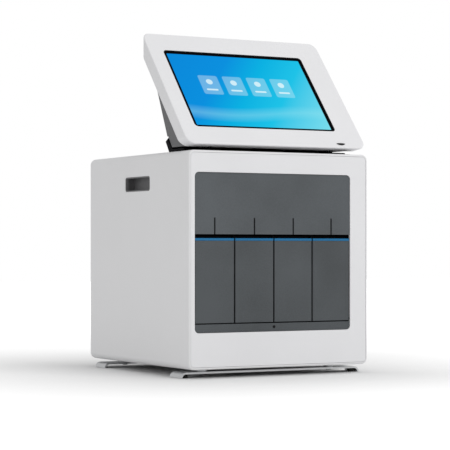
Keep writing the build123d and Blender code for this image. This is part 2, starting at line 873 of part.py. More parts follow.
# Foot rails: flat strips under the cabinet, with both ends turned down to the table in a quarter round.
bend_radius = foot_height - rail_standoff
rail_top = foot_height - rail_standoff
rail_half = width / 2
pad_depth = rail_width - 4
rail_middles = (front + rail_setback + rail_width / 2, back - rail_setback - rail_width / 2)
for rail_y, name in zip(rail_middles, ("front_foot_rail", "rear_foot_rail")):
    with BuildPart() as foot_rail:
        with BuildSketch(front_plane(rail_y)):
            with BuildLine():
                Line((-rail_half + bend_radius, rail_top), (rail_half - bend_radius, rail_top))
                RadiusArc((rail_half - bend_radius, rail_top), (rail_half, 0.3), bend_radius)
                Line((rail_half, 0.3), (rail_half - rail_thickness, 0.3))
                RadiusArc(
                    (rail_half - rail_thickness, 0.3),
                    (rail_half - bend_radius, rail_top - rail_thickness),
                    -(bend_radius - rail_thickness),
                )
                Line(
                    (rail_half - bend_radius, rail_top - rail_thickness),
                    (-rail_half + bend_radius, rail_top - rail_thickness),
                )
                RadiusArc(
                    (-rail_half + bend_radius, rail_top - rail_thickness),
                    (-rail_half + rail_thickness, 0.3),
                    -(bend_radius - rail_thickness),
                )
                Line((-rail_half + rail_thickness, 0.3), (-rail_half, 0.3))
                RadiusArc((-rail_half, 0.3), (-rail_half + bend_radius, rail_top), bend_radius)
            make_face()
        extrude(amount=rail_width / 2, both=True)
    save(foot_rail, name)

# Foot pads: rubber blocks under the turned ends of the rails.
pad_top = rail_top - rail_thickness
with BuildPart() as foot_pads:
    with BuildSketch(level(0)):
        for side in (-1, 1):
            pad_x = side * (rail_half - bend_radius - pad_length / 2)
            with Locations(*[(pad_x, y) for y in rail_middles]):
                Rectangle(pad_length, pad_depth)
    extrude(amount=pad_top)
save(foot_pads, "foot_pads")

# Rail spacers: round studs between each rail and the cabinet's underside.
spacer_radius = 7
with BuildPart() as rail_spacers:
    with BuildSketch(level(rail_top)):
        with Locations(*[(x, y) for x in (-rail_half + 40, rail_half - 40) for y in rail_middles]):
            Circle(spacer_radius)
    extrude(amount=bottom - rail_top)
save(rail_spacers, "rail_spacers")

# Screen housing. Its face leans back by the recline angle; slant runs up the face, depth goes into it.
lean_sin = sin(radians(recline))
lean_cos = cos(radians(recline))
screen_y = front + screen_setback
screen_z = top + screen_lift


def on_screen(slant, inward):
    """The Y and Z of a point this far up the screen's face and this far behind it."""
    return (
        screen_y + slant * lean_sin + inward * lean_cos,
        screen_z + slant * lean_cos - inward * lean_sin,
    )


def slant_at_y(y, inward):
    """How far up the face a point at this Y lies, at this depth behind it."""
    return (y - screen_y - inward * lean_cos) / lean_sin


def slant_at_z(z, inward):
    """How far up the face a point at this Z lies, at this depth behind it."""
    return (z - screen_z + inward * lean_sin) / lean_cos


def screen_plane(inward):
    """A plane parallel to the screen's face, this far behind it: its own axes are X and slant."""
    y, z = on_screen(0, inward)
    return Plane(origin=(0, y, z), x_dir=(1, 0, 0), z_dir=(0, -lean_cos, lean_sin))


def screen_outline(wall, face_in, back_in):
    """The housing's side outline, a wall inside the real one at the top and bottom."""
    top_y = on_screen(screen_slant, 0)[0] - wall
    heel_z = top + heel_lift + wall
    face_low = wall / sin(radians(chin_angle)) + face_in / tan(radians(chin_angle)) - chin_drop
    return [
        on_screen(face_low, face_in),
        on_screen(slant_at_y(top_y, face_in), face_in),
        on_screen(slant_at_y(top_y, back_in), back_in),
        on_screen(slant_at_z(heel_z, back_in), back_in),
    ]


def rounded_block(outline, half_width, top_round, heel_round):
    """The outline carried across the width, with its four corners seen from the front rounded."""
    with BuildPart(mode=Mode.PRIVATE) as block:
        with BuildSketch(side_plane(0)):
            with BuildLine():
                Polyline(*outline, close=True)
            make_face()
        extrude(amount=half_width, both=True)
        fillet(block.edges().filter_by(Axis.Z), top_round)
        heel_face = block.faces().sort_by(Axis.Z)[0]
        heel_edges = heel_face.edges().filter_by(lambda edge: abs((edge % 0.5).X) < 0.5)
        fillet(heel_edges, heel_round)
    return block.part


outer_block = rounded_block(
    screen_outline(0, 0, screen_depth), width / 2, screen_top_round, screen_heel_round
)
plate_in = screen_depth - back_plate
hollow_block = rounded_block(
    screen_outline(screen_wall, screen_face_wall, plate_in),
    width / 2 - screen_wall,
    screen_top_round - screen_wall,
    screen_heel_round - screen_wall,
)
face_up = Axis((0, 0, 0), (0, -lean_cos, lean_sin))
pivot_y = front + pivot_back
pivot_z = top + pivot_lift
ear_places = (-ear_spacing / 2, ear_spacing / 2)
lug_offset = ear_thickness / 2 + lug_gap + lug_thickness / 2
ear_room = ear_thickness + 2 * lug_gap
notch_reach = 9

# Room for the bracket ears, cut out of the housing's heel and its back plate.
with BuildPart(mode=Mode.PRIVATE) as ear_notches:
    for x in ear_places:
        with BuildSketch(side_plane(x)):
            with Locations((pivot_y, pivot_z)):
                Circle(ear_radius + 1.2)
            with Locations((pivot_y, pivot_z - notch_reach)):
                Rectangle(2 * notch_reach, 2 * notch_reach)
        extrude(amount=ear_room / 2, both=True)

# Screen front: the shell with the window, the key's hole and the room behind it for the key's flange.
with BuildPart() as screen_front:
    add(outer_block)
    fillet(screen_front.faces().sort_by(face_up)[-1].edges(), face_round)
    split(bisect_by=screen_plane(plate_in), keep=Keep.TOP)
    add(hollow_block, mode=Mode.SUBTRACT)
    with BuildSketch(screen_plane(0)):
        with Locations((window_shift, window_slant)):
            RectangleRounded(window_width, window_height, window_corner)
        with BuildLine():
            ThreePointArc(
                (key_x - key_width / 2 - key_gap, key_slant),
                (key_x, key_slant + key_rise + key_gap),
                (key_x + key_width / 2 + key_gap, key_slant),
            )
            ThreePointArc(
                (key_x + key_width / 2 + key_gap, key_slant),
                (key_x, key_slant - key_height + key_rise - key_gap),
                (key_x - key_width / 2 - key_gap, key_slant),
            )
        make_face()
    extrude(amount=-screen_face_wall, mode=Mode.SUBTRACT)
    with BuildSketch(screen_plane(screen_face_wall)):
        with Locations((key_x, key_middle)):
            RectangleRounded(key_flange_width + 2 * key_clear, key_flange_height + 2 * key_clear, 1)
    extrude(amount=-(key_flange_wall + key_travel + key_clear), mode=Mode.SUBTRACT)
    add(ear_notches.part, mode=Mode.SUBTRACT)
save(screen_front, "screen_front")

# Screen key: a boat-shaped button with a flange behind the housing's face.
with BuildPart() as screen_key:
    with BuildSketch(screen_plane(-key_proud)):
        with BuildLine():
            ThreePointArc(
                (key_x - key_width / 2, key_slant),
                (key_x, key_slant + key_rise),
                (key_x + key_width / 2, key_slant),
            )
            ThreePointArc(
                (key_x + key_width / 2, key_slant),
                (key_x, key_slant - key_height + key_rise),
                (key_x - key_width / 2, key_slant),
            )
        make_face()
    extrude(amount=-(screen_face_wall + key_proud))
    with BuildSketch(screen_plane(screen_face_wall)):
        with Locations((key_x, key_middle)):
            RectangleRounded(key_flange_width, key_flange_height, 1)
    extrude(amount=-key_flange_wall)
save(screen_key, "screen_key")

# Screen back: the flat plate behind the shell, with four board bosses and four hinge lugs.
boss_radius = 3
boss_height = 4
board_slant = 105
board_width = 160
board_height = 90
with BuildPart() as screen_back:
    add(outer_block)
    split(bisect_by=screen_plane(plate_in), keep=Keep.BOTTOM)
    chamfer(screen_back.faces().sort_by(face_up)[0].outer_wire().edges(), 0.5)
    with BuildSketch(screen_plane(screen_depth)):
        with Locations((0, board_slant)):
            with GridLocations(board_width - 10, board_height - 10, 2, 2):
                Circle(boss_radius)
    extrude(amount=-boss_height)
    for x in ear_places:
        for side in (-1, 1):
            with BuildSketch(side_plane(x + side * lug_offset)):
                with Locations((pivot_y, pivot_z)):
                    Circle(lug_radius)
            extrude(amount=lug_thickness / 2, both=True)
    add(ear_notches.part, mode=Mode.SUBTRACT)
    with BuildSketch(side_plane(0)):
        with Locations((pivot_y, pivot_z)):
            Circle(tilt_shaft_radius + running_gap)
    extrude(amount=ear_spacing / 2 + lug_offset + lug_thickness, both=True, mode=Mode.SUBTRACT)
save(screen_back, "screen_back")

# Touch glass: against the inside of the housing's face, behind the window.
glass_width = window_width + 2 * glass_margin
glass_height = window_height + 2 * glass_margin
with BuildPart() as touch_glass:
    with BuildSketch(screen_plane(screen_face_wall)):
        with Locations((window_shift, window_slant)):
            RectangleRounded(glass_width, glass_height, window_corner + glass_margin)
    extrude(amount=-glass_thickness)
save(touch_glass, "touch_glass")

# Display panel: bonded behind the glass.
with BuildPart() as display_panel:
    with BuildSketch(screen_plane(screen_face_wall + glass_thickness)):
        with Locations((window_shift, window_slant)):
            Rectangle(glass_width - 2 * display_inset, glass_height - 2 * display_inset)
    extrude(amount=-display_thickness)
save(display_panel, "display_panel")

# Rear pod: the dark wedge behind the screen, open towards the back plate.
back_slope = tan(radians(pod_back_lean))
heel_z = top + pod_heel_lift
heel_y = front + pod_reach
pod_low = top + pod_bottom_lift
ridge_top = top + ridge_height
deck_z = top + deck_height
ridge_run = ridge_crest - ridge_foot
ridge_rise = ridge_height - deck_height
ridge_length = (ridge_run**2 + ridge_rise**2) ** 0.5


def beside_ridge(z, gap):
    """The Y of a line parallel to the ridge's front slope, this far in front of it."""
    return front + ridge_foot + ((z - deck_z) * ridge_run - gap * ridge_length) / ridge_rise


def pod_outline(wall, front_in):
    """The pod's side outline, a wall inside the real one everywhere but at its open front."""
    top_slant = pod_top_slant - wall
    low_z = pod_low + wall
    back_y = heel_y - wall / cos(radians(pod_back_lean))
    start_y, start_z = on_screen(top_slant, 0)
    to_back = (back_y + back_slope * (start_z - heel_z) - start_y) / (lean_cos + back_slope * lean_sin)
    slope_gap = rest_pad_thickness + wall
    heel_low = heel_z + wall
    return [
        on_screen(slant_at_z(low_z, front_in), front_in),
        on_screen(top_slant, front_in),
        on_screen(top_slant, to_back),
        (back_y + back_slope * (heel_low - heel_z), heel_low),
        (beside_ridge(heel_low, slope_gap), heel_low),
        (beside_ridge(low_z, slope_gap), low_z),
    ]


with BuildPart() as rear_pod:
    with BuildSketch(side_plane(0)):
        with BuildLine():
            Polyline(*pod_outline(0, screen_depth), close=True)
        make_face()
    extrude(amount=pod_width / 2, both=True)
    fillet(rear_pod.faces().sort_by(Axis((0, 0, 0), (0, 1, -back_slope)))[-1].edges(), pod_round)
    with BuildSketch(side_plane(0)):
        with BuildLine():
            Polyline(*pod_outline(pod_wall, screen_depth - 1), close=True)
        make_face()
    extrude(amount=pod_width / 2 - pod_wall, both=True, mode=Mode.SUBTRACT)
    with BuildSketch(level(pod_low - 1)):
        with Locations(*[(x, pivot_y) for x in ear_places]):
            Rectangle(2 * (lug_offset + lug_thickness / 2 + 1), 2 * notch_reach)
    extrude(amount=pod_wall + lug_radius, mode=Mode.SUBTRACT)
save(rear_pod, "rear_pod")

# Computer board: on the four bosses, inside the pod.
board_in = screen_depth + boss_height
with BuildPart() as computer_board:
    with BuildSketch(screen_plane(board_in)):
        with Locations((0, board_slant)):
            Rectangle(board_width, board_height)
    extrude(amount=-board_thickness)
    with BuildSketch(screen_plane(board_in + board_thickness)):
        with Locations((-30, board_slant - 10)):
            Rectangle(36, 36)
        with Locations((30, board_slant - 10)):
            Rectangle(50, 20)
    extrude(amount=-4)
save(computer_board, "computer_board")

# Pivot base: a black moulding with a low front, a deck and a raised ridge at the back.
base_half = width / 2 - base_inset
base_sizes = [
    (0, base_front, 88, base_half - base_flare, 10),
    (15, base_front - 4, 94.4, base_half, 12),
    (ridge_height, base_front - 2, 90, base_half - 2, 12),
]
floor_z = top + base_floor
deck_ramp = 36
ridge_wall = 2.5
bracket_foot = 16
bracket_foot_y = pivot_y + 12
recess_width = 18
recess_length = 22
recess_y = pivot_y + 10
with BuildPart() as pivot_base:
    for lower, upper in zip(base_sizes, base_sizes[1:]):
        for lift, near, far, half, corner in (lower, upper):
            with BuildSketch(level(top + lift)):
                with Locations((0, front + (near + far) / 2)):
                    RectangleRounded(2 * half, far - near, corner)
        loft(ruled=True)
    with BuildSketch(side_plane(0)):
        with BuildLine():
            Polyline(
                (front, floor_z),
                (front + deck_ramp, floor_z),
                (front + deck_ramp + 3, deck_z),
                (front + ridge_foot, deck_z),
                (front + ridge_crest, ridge_top),
                (front + ridge_crest, ridge_top + 5),
                (front, ridge_top + 5),
                close=True,
            )
        make_face()
    extrude(amount=width / 2, both=True, mode=Mode.SUBTRACT)
    with BuildSketch(side_plane(0)):
        with BuildLine():
            Polyline(
                (front + ridge_foot, top),
                (front + ridge_foot, deck_z - ridge_wall),
                (beside_ridge(ridge_top - ridge_wall, -ridge_wall), ridge_top - ridge_wall),
                (front + ridge_crest + 5, ridge_top - ridge_wall),
                (front + ridge_crest + 7, top + 14),
                (front + ridge_crest - 1, top),
                close=True,
            )
        make_face()
    extrude(amount=base_half - base_flare - ridge_wall, both=True, mode=Mode.SUBTRACT)
    with BuildSketch(level(floor_z)):
        with Locations(*[(x, recess_y) for x in ear_places]):
            Rectangle(recess_width, recess_length)
    extrude(amount=deck_height, mode=Mode.SUBTRACT)
save(pivot_base, "pivot_base")

# Hinge brackets: an upright ear on a foot that lies in the base's recess.
foot_wall = 1.5
with BuildPart() as hinge_brackets:
    for x in ear_places:
        with BuildSketch(side_plane(x)):
            with Locations((pivot_y, pivot_z)):
                Circle(ear_radius)
            with Locations((pivot_y, (pivot_z + floor_z) / 2)):
                Rectangle(2 * ear_radius, pivot_z - floor_z)
            with Locations((pivot_y, pivot_z)):
                Circle(tilt_shaft_radius + running_gap, mode=Mode.SUBTRACT)
        extrude(amount=ear_thickness / 2, both=True)
    with BuildSketch(level(floor_z)):
        with Locations(*[(x, bracket_foot_y) for x in ear_places]):
            Rectangle(bracket_foot, bracket_foot)
    extrude(amount=foot_wall)
save(hinge_brackets, "hinge_brackets")

# Tilt shafts: one pin through each ear and its two lugs.
with BuildPart() as tilt_shafts:
    for x in ear_places:
        with BuildSketch(side_plane(x)):
            with Locations((pivot_y, pivot_z)):
                Circle(tilt_shaft_radius)
        extrude(amount=lug_offset + lug_thickness / 2, both=True)
save(tilt_shafts, "tilt_shafts")

# Rest pads: two rubber strips on the ridge's front slope, where the pod comes to rest.
rest_low = deck_z + 5
rest_high = deck_z + 12
rest_length = 20
rest_inset = 15
rest_outer = ear_spacing / 2 - rest_inset
rest_inner = rest_outer - rest_length
with BuildPart() as rest_pads:
    with BuildSketch(side_plane(0)):
        with BuildLine():
            Polyline(
                (beside_ridge(rest_low, 0), rest_low),
                (beside_ridge(rest_high, 0), rest_high),
                (beside_ridge(rest_high, rest_pad_thickness), rest_high),
                (beside_ridge(rest_low, rest_pad_thickness), rest_low),
                close=True,
            )
        make_face()
    extrude(amount=rest_outer, both=True)
    with BuildSketch(side_plane(0)):
        with Locations((front + ridge_crest, (rest_low + rest_high) / 2)):
            Rectangle(2 * ridge_run + 2 * ridge_height, 2 * ridge_height)
    extrude(amount=rest_inner, both=True, mode=Mode.SUBTRACT)
save(rest_pads, "rest_pads")
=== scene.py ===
"""The looks of a bench-top molecular diagnostic analyzer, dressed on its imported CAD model."""

import bmesh
import bpy
import numpy as np
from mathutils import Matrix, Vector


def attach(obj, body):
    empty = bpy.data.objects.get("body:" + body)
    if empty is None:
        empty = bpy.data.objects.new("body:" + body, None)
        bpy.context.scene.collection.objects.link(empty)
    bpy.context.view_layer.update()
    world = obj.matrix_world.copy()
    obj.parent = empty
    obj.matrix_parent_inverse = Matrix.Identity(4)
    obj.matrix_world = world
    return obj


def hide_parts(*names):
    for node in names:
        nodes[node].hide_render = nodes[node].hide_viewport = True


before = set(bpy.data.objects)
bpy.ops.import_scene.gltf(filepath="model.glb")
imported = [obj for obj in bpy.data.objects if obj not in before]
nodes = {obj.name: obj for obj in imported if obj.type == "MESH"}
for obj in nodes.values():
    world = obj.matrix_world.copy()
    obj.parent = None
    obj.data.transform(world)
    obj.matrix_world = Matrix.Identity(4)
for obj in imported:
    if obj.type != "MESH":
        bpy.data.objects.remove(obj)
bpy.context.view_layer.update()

# Sizes in metres, repeated from the model.
MM = 0.001
recline = np.radians(40.73)
lean_sin = np.sin(recline)
lean_cos = np.cos(recline)
front = -155 * MM
screen_y = front + 1.25 * MM
screen_z = 309.05 * MM
window_width = 220.7 * MM
window_height = 145.5 * MM
window_corner = 5.5 * MM
window_shift = -7.8 * MM
window_slant = 104.8 * MM
black_border = 4.8 * MM
module_pitch = 60.5 * MM
panel_middle = -9.8 * MM
module_places = [panel_middle + module_pitch * (i - 1.5) for i in range(4)]
panel_front = front + 1 * MM
rear_face = 152 * MM
fan_places = [(-62 * MM, 228 * MM), (62 * MM, 228 * MM)]


# Materials. Every pattern is measured on the object's own coordinates, in metres.


def new_finish(name):
    """A new material, returned with its node tree and its shader."""
    material = bpy.data.materials.new(name)
    material.use_nodes = True
    tree = material.node_tree
    shader = tree.nodes["Principled BSDF"]
    return material, tree, shader


def calc(tree, operation, first, second=0.0, third=None):
    """One step of arithmetic on node outputs or plain numbers."""
    node = tree.nodes.new("ShaderNodeMath")
    node.operation = operation
    for place, value in enumerate((first, second, third)):
        if value is None:
            continue
        if isinstance(value, (int, float)):
            node.inputs[place].default_value = value
        else:
            tree.links.new(value, node.inputs[place])
    return node.outputs[0]


def object_noise(tree, size, detail, stretch=(1, 1, 1)):
    """A noise pattern whose grains are about this many metres across."""
    coordinates = tree.nodes.new("ShaderNodeTexCoord")
    mapping = tree.nodes.new("ShaderNodeMapping")
    mapping.inputs["Scale"].default_value = stretch
    tree.links.new(coordinates.outputs["Object"], mapping.inputs["Vector"])
    noise = tree.nodes.new("ShaderNodeTexNoise")
    noise.inputs["Scale"].default_value = 1 / size
    noise.inputs["Detail"].default_value = detail
    tree.links.new(mapping.outputs["Vector"], noise.inputs["Vector"])
    return noise.outputs["Fac"]


def spread(tree, value, low, high, start=0.35, end=0.65):
    """The value's range from start to end, carried over to low and high."""
    ramp = tree.nodes.new("ShaderNodeMapRange")
    ramp.inputs["From Min"].default_value = start
    ramp.inputs["From Max"].default_value = end
    ramp.inputs["To Min"].default_value = low
    ramp.inputs["To Max"].default_value = high
    tree.links.new(value, ramp.inputs["Value"])
    return ramp.outputs["Result"]


def two_tones(tree, value, first, second):
    """A colour that goes from the first to the second as the value goes from 0 to 1."""
    mix = tree.nodes.new("ShaderNodeMix")
    mix.data_type = "RGBA"
    for socket, colour in (("A", first), ("B", second)):
        if isinstance(colour, tuple):
            mix.inputs[socket].default_value = (*colour, 1)
        else:
            tree.links.new(colour, mix.inputs[socket])
    tree.links.new(value, mix.inputs["Factor"])
    return mix.outputs["Result"]


def bump(tree, shader, height, depth):
    """Relief of this depth in metres from a height pattern."""
    relief = tree.nodes.new("ShaderNodeBump")
    relief.inputs["Distance"].default_value = depth
    tree.links.new(height, relief.inputs["Height"])
    tree.links.new(relief.outputs["Normal"], shader.inputs["Normal"])


def moulded(name, colour, roughness, grain, depth, shift, specular=0.5):
    """Moulded or painted plastic: a fine spark-eroded grain, a slow drift of tone and of gloss."""
    material, tree, shader = new_finish(name)
    fine = object_noise(tree, grain, 4)
    slow = object_noise(tree, 0.09, 2)
    darker = tuple(part * (1 - shift) for part in colour)
    lighter = tuple(min(part * (1 + shift), 1) for part in colour)
    mixed = calc(tree, "MULTIPLY_ADD", fine, 0.5, slow)
    tone = spread(tree, mixed, 0, 1, 0.55, 0.95)
    tree.links.new(two_tones(tree, tone, darker, lighter), shader.inputs["Base Color"])
    tree.links.new(spread(tree, slow, roughness - 0.04, roughness + 0.05), shader.inputs["Roughness"])
    bump(tree, shader, fine, depth)
    shader.inputs["Specular IOR Level"].default_value = specular
    return material


def metal(name, colour, roughness, stretch, grain=0.0012, depth=0.00001):
    """Bare metal drawn out along one axis: long fine lines in its gloss and its relief."""
    material, tree, shader = new_finish(name)
    lines = object_noise(tree, grain, 2, stretch)
    shader.inputs["Metallic"].default_value = 1
    darker = tuple(part * 0.86 for part in colour)
    tone = spread(tree, lines, 0, 1)
    tree.links.new(two_tones(tree, tone, darker, colour), shader.inputs["Base Color"])
    tree.links.new(spread(tree, lines, roughness - 0.06, roughness + 0.08), shader.inputs["Roughness"])
    bump(tree, shader, lines, depth)
    return material


def circuit(name):
    """A green circuit board with paler tracks under its solder mask."""
    material, tree, shader = new_finish(name)
    coordinates = tree.nodes.new("ShaderNodeTexCoord")
    cells = tree.nodes.new("ShaderNodeTexVoronoi")
    cells.distance = "MANHATTAN"
    cells.feature = "DISTANCE_TO_EDGE"
    cells.inputs["Scale"].default_value = 140
    tree.links.new(coordinates.outputs["Object"], cells.inputs["Vector"])
    tracks = spread(tree, cells.outputs["Distance"], 1, 0, 0.02, 0.09)
    greens = two_tones(tree, tracks, (0.012, 0.10, 0.05), (0.04, 0.24, 0.12))
    tree.links.new(greens, shader.inputs["Base Color"])
    shader.inputs["Roughness"].default_value = 0.35
    bump(tree, shader, tracks, 0.00005)
    return material


def between(tree, value, low, high, blur):
    """1 between the two limits and 0 outside them, with edges this soft."""
    rise = spread(tree, value, 0, 1, low - blur, low + blur)
    fall = spread(tree, value, 1, 0, high - blur, high + blur)
    return calc(tree, "MULTIPLY", rise, fall)


def beyond(tree, value, reach):
    """How far the value lies past this reach on either side of nought, and nought within it."""
    past = calc(tree, "SUBTRACT", calc(tree, "ABSOLUTE", value), reach)
    return calc(tree, "MAXIMUM", past, 0)


def length(tree, first, second):
    """The length of the two values taken as the legs of a right angle."""
    square = calc(tree, "MULTIPLY_ADD", first, first, calc(tree, "MULTIPLY", second, second))
    return calc(tree, "SQRT", square)


def rounded_tile(tree, across, along, half_width, half_height, corner, blur):
    """1 inside a rounded rectangle about the origin. Its edge is where the length of
    max(|across| - half_width + corner, 0) and max(|along| - half_height + corner, 0) is the corner."""
    out_x = beyond(tree, across, half_width - corner)
    out_y = beyond(tree, along, half_height - corner)
    return spread(tree, length(tree, out_x, out_y), 1, 0, corner - blur, corner + blur)


def display_glass(name):
    """Cover glass with a black border. Inside it glows a plain start picture: a blue that pales to the
    right, four soft tiles for the four bays and one broad pale swell along the bottom."""
    material, tree, shader = new_finish(name)
    coordinates = tree.nodes.new("ShaderNodeTexCoord")
    parts = tree.nodes.new("ShaderNodeSeparateXYZ")
    tree.links.new(coordinates.outputs["Object"], parts.inputs["Vector"])
    up_face = tree.nodes.new("ShaderNodeVectorMath")
    up_face.operation = "DOT_PRODUCT"
    up_face.inputs[1].default_value = (0, lean_sin, lean_cos)
    tree.links.new(coordinates.outputs["Object"], up_face.inputs[0])
    start = screen_y * lean_sin + screen_z * lean_cos
    across = calc(tree, "SUBTRACT", parts.outputs["X"], window_shift)
    along = calc(tree, "SUBTRACT", up_face.outputs["Value"], start + window_slant)
    half_width = window_width / 2 - black_border
    half_height = window_height / 2 - black_border
    lit = rounded_tile(tree, across, along, half_width, half_height, 1 * MM, 0.15 * MM)
    u = spread(tree, across, 0, 1, -half_width, half_width)
    v = spread(tree, along, 0, 1, -half_height, half_height)

    # The ground goes from a deep blue at the upper left to a pale blue at the lower right.
    slide = calc(tree, "MULTIPLY_ADD", v, -0.34, calc(tree, "MULTIPLY_ADD", u, 0.70, 0.32))
    ramp = tree.nodes.new("ShaderNodeValToRGB")
    ramp.color_ramp.elements[0].color = (0.0, 0.245, 0.70, 1)
    ramp.color_ramp.elements[1].color = (0.18, 0.71, 0.84, 1)
    stops = ((0.30, (0.0, 0.275, 0.73, 1)), (0.5, (0.0, 0.44, 0.76, 1)), (0.7, (0.01, 0.54, 0.80, 1)))
    for place, colour in stops:
        stop = ramp.color_ramp.elements.new(place)
        stop.color = colour
    tree.links.new(slide, ramp.inputs["Fac"])

    # Four tiles side by side, one for each bay, each with a round lamp and a bar.
    pitch = 38 * MM
    row = calc(tree, "WRAP", across, 2 * pitch, -2 * pitch)
    cell = calc(tree, "PINGPONG", calc(tree, "ADD", row, 2 * pitch), pitch)
    tile_x = calc(tree, "SUBTRACT", cell, pitch / 2)
    tile_y = calc(tree, "SUBTRACT", along, 10 * MM)
    tiles = rounded_tile(tree, tile_x, tile_y, 15 * MM, 18 * MM, 3 * MM, 0.3 * MM)
    lamp_y = calc(tree, "ADD", tile_y, -6 * MM)
    lamp = rounded_tile(tree, tile_x, lamp_y, 5 * MM, 5 * MM, 5 * MM, 0.3 * MM)
    bar_y = calc(tree, "ADD", tile_y, 9 * MM)
    bar = rounded_tile(tree, tile_x, bar_y, 9 * MM, 1.6 * MM, 1.6 * MM, 0.3 * MM)
    in_row = between(tree, across, -2 * pitch, 2 * pitch, 0.1 * MM)
    shown = calc(tree, "MULTIPLY", in_row, tiles)
    marks = calc(tree, "MULTIPLY", in_row, calc(tree, "MAXIMUM", lamp, bar))
    swell_line = calc(tree, "MULTIPLY", calc(tree, "SINE", calc(tree, "MULTIPLY", u, 5.2)), 5 * MM)
    swell_at = calc(tree, "ADD", calc(tree, "ADD", along, 42 * MM), swell_line)
    swell = between(tree, swell_at, -7 * MM, 7 * MM, 7 * MM)
    ground = two_tones(tree, calc(tree, "MULTIPLY", swell, 0.30), ramp.outputs["Color"], (0.32, 0.80, 0.88))
    tiled = two_tones(tree, calc(tree, "MULTIPLY", shown, 0.30), ground, (0.50, 0.88, 0.94))
    marked = two_tones(tree, calc(tree, "MULTIPLY", marks, 0.75), tiled, (0.78, 0.95, 0.98))
    glow = two_tones(tree, lit, (0.0, 0.0, 0.0), marked)
    tree.links.new(glow, shader.inputs["Emission Color"])
    shader.inputs["Emission Strength"].default_value = 1.0
    shader.inputs["Base Color"].default_value = (0.002, 0.002, 0.003, 1)
    shader.inputs["Roughness"].default_value = 0.12
    shader.inputs["Specular IOR Level"].default_value = 0.01
    return material


cabinet_white = moulded("cabinet white", (0.80, 0.80, 0.81), 0.42, 0.0009, 0.000004, 0.012)
front_white = moulded("front moulding white", (0.82, 0.82, 0.835), 0.38, 0.0009, 0.000004, 0.012)
screen_white = moulded("screen housing white", (0.83, 0.83, 0.845), 0.36, 0.0009, 0.000004, 0.012)
fascia_grey = moulded("fascia grey", (0.092, 0.102, 0.110), 0.55, 0.0016, 0.00005, 0.16, 0.3)
door_grey = moulded("door grey", (0.074, 0.082, 0.088), 0.55, 0.0016, 0.00005, 0.16, 0.3)
pocket_grey = moulded("hand-hold grey", (0.17, 0.17, 0.175), 0.55, 0.001, 0.00002, 0.08)
pod_grey = moulded("pod grey", (0.120, 0.121, 0.125), 0.5, 0.001, 0.00003, 0.07)
base_black = moulded("base black", (0.004, 0.004, 0.005), 0.6, 0.001, 0.00003, 0.15, 0.05)
fan_black = moulded("fan black", (0.018, 0.018, 0.019), 0.5, 0.0012, 0.00002, 0.15)
# Black coated steel for the motors, frames, brackets and screws. On the bay dividers the same black is
# painted shade, so the gaps between the doors read dark.
black_coat_and_gap_shade = moulded("black coated steel and painted gap shade", (0.003, 0.003, 0.004), 0.6, 0.0008, 0.00002, 0.2, 0.04)
gloss_black = moulded("gloss black", (0.004, 0.004, 0.005), 0.2, 0.002, 0.000002, 0.1, 0.2)
lens_black = moulded("dark light bar", (0.004, 0.004, 0.005), 0.3, 0.002, 0.000002, 0.1, 0.2)
rubber = moulded("foot rubber", (0.010, 0.010, 0.010), 0.75, 0.0008, 0.00004, 0.2, 0.3)
rear_coat = moulded("rear powder coat", (0.62, 0.62, 0.63), 0.55, 0.0007, 0.00003, 0.03)
light_blue = moulded("light bar blue", (0.007, 0.150, 0.34), 0.3, 0.001, 0.000004, 0.05, 0.3)
sealing = moulded("black seal", (0.004, 0.004, 0.004), 0.6, 0.0008, 0.00001, 0.2, 0.15)
steel = metal("turned steel", (0.56, 0.57, 0.58), 0.28, (1, 1, 0.05))
sheet = metal("rolled sheet", (0.60, 0.61, 0.62), 0.38, (1, 0.04, 1))
anodised = metal("dark anodised", (0.10, 0.105, 0.115), 0.45, (0.05, 1, 1))
rail_metal = metal("drawn rail", (0.70, 0.71, 0.72), 0.36, (0.02, 1, 1), 0.0014, 0.00003)
gold = metal("contact gold", (0.78, 0.56, 0.22), 0.25, (1, 0.1, 1))
board = circuit("circuit board")
glass = display_glass("display under glass")
display = moulded("display back", (0.10, 0.10, 0.11), 0.5, 0.002, 0.00001, 0.1)

finishes = {
    "outer_sleeve": cabinet_white, "front_bezel": front_white, "upper_fascia": fascia_grey,
    "sill_strip": door_grey, "status_lenses": lens_black, "handle_pocket_left": pocket_grey,
    # The bay dividers take the black finish as painted shade for the gaps between the doors.
    "handle_pocket_right": pocket_grey, "door_hinge_rod": steel, "bay_dividers": black_coat_and_gap_shade,
    "chassis_tray": sheet, "ultrasonic_horns": steel, "thermal_blocks": anodised,
    "syringe_motors": black_coat_and_gap_shade, "valve_motors": black_coat_and_gap_shade, "module_boards": board, "main_board": board,
    "power_supply": sheet, "rear_panel": rear_coat, "fan_frames": fan_black,
    "fan_rotor_left": fan_black, "fan_rotor_right": fan_black, "fan_guards": steel,
    "power_inlet": fan_black, "power_switch": gloss_black, "data_port": steel,
    "front_foot_rail": rail_metal, "rear_foot_rail": rail_metal, "foot_pads": rubber,
    "rail_spacers": rail_metal, "screen_front": screen_white, "screen_back": screen_white,
    "screen_key": gloss_black, "touch_glass": glass, "display_panel": display, "rear_pod": pod_grey,
    "computer_board": board, "pivot_base": base_black, "hinge_brackets": black_coat_and_gap_shade,
    "tilt_shafts": black_coat_and_gap_shade, "rest_pads": rubber,
}
for number in range(1, 5):
    finishes[f"door_{number}"] = door_grey
    finishes[f"door_light_{number}"] = light_blue
    finishes[f"module_frame_{number}"] = black_coat_and_gap_shade
    finishes[f"plunger_{number}"] = steel
    finishes[f"valve_drive_{number}"] = fan_black
for name, finish in finishes.items():
    mesh = nodes[name].data
    mesh.materials.clear()
    mesh.materials.append(finish)


# Pieces of the scene's own, each a grid of points worked out from two parameters.


def unit(vector):
    """The vector at length one."""
    vector = np.asarray(vector, float)
    return vector / np.linalg.norm(vector)


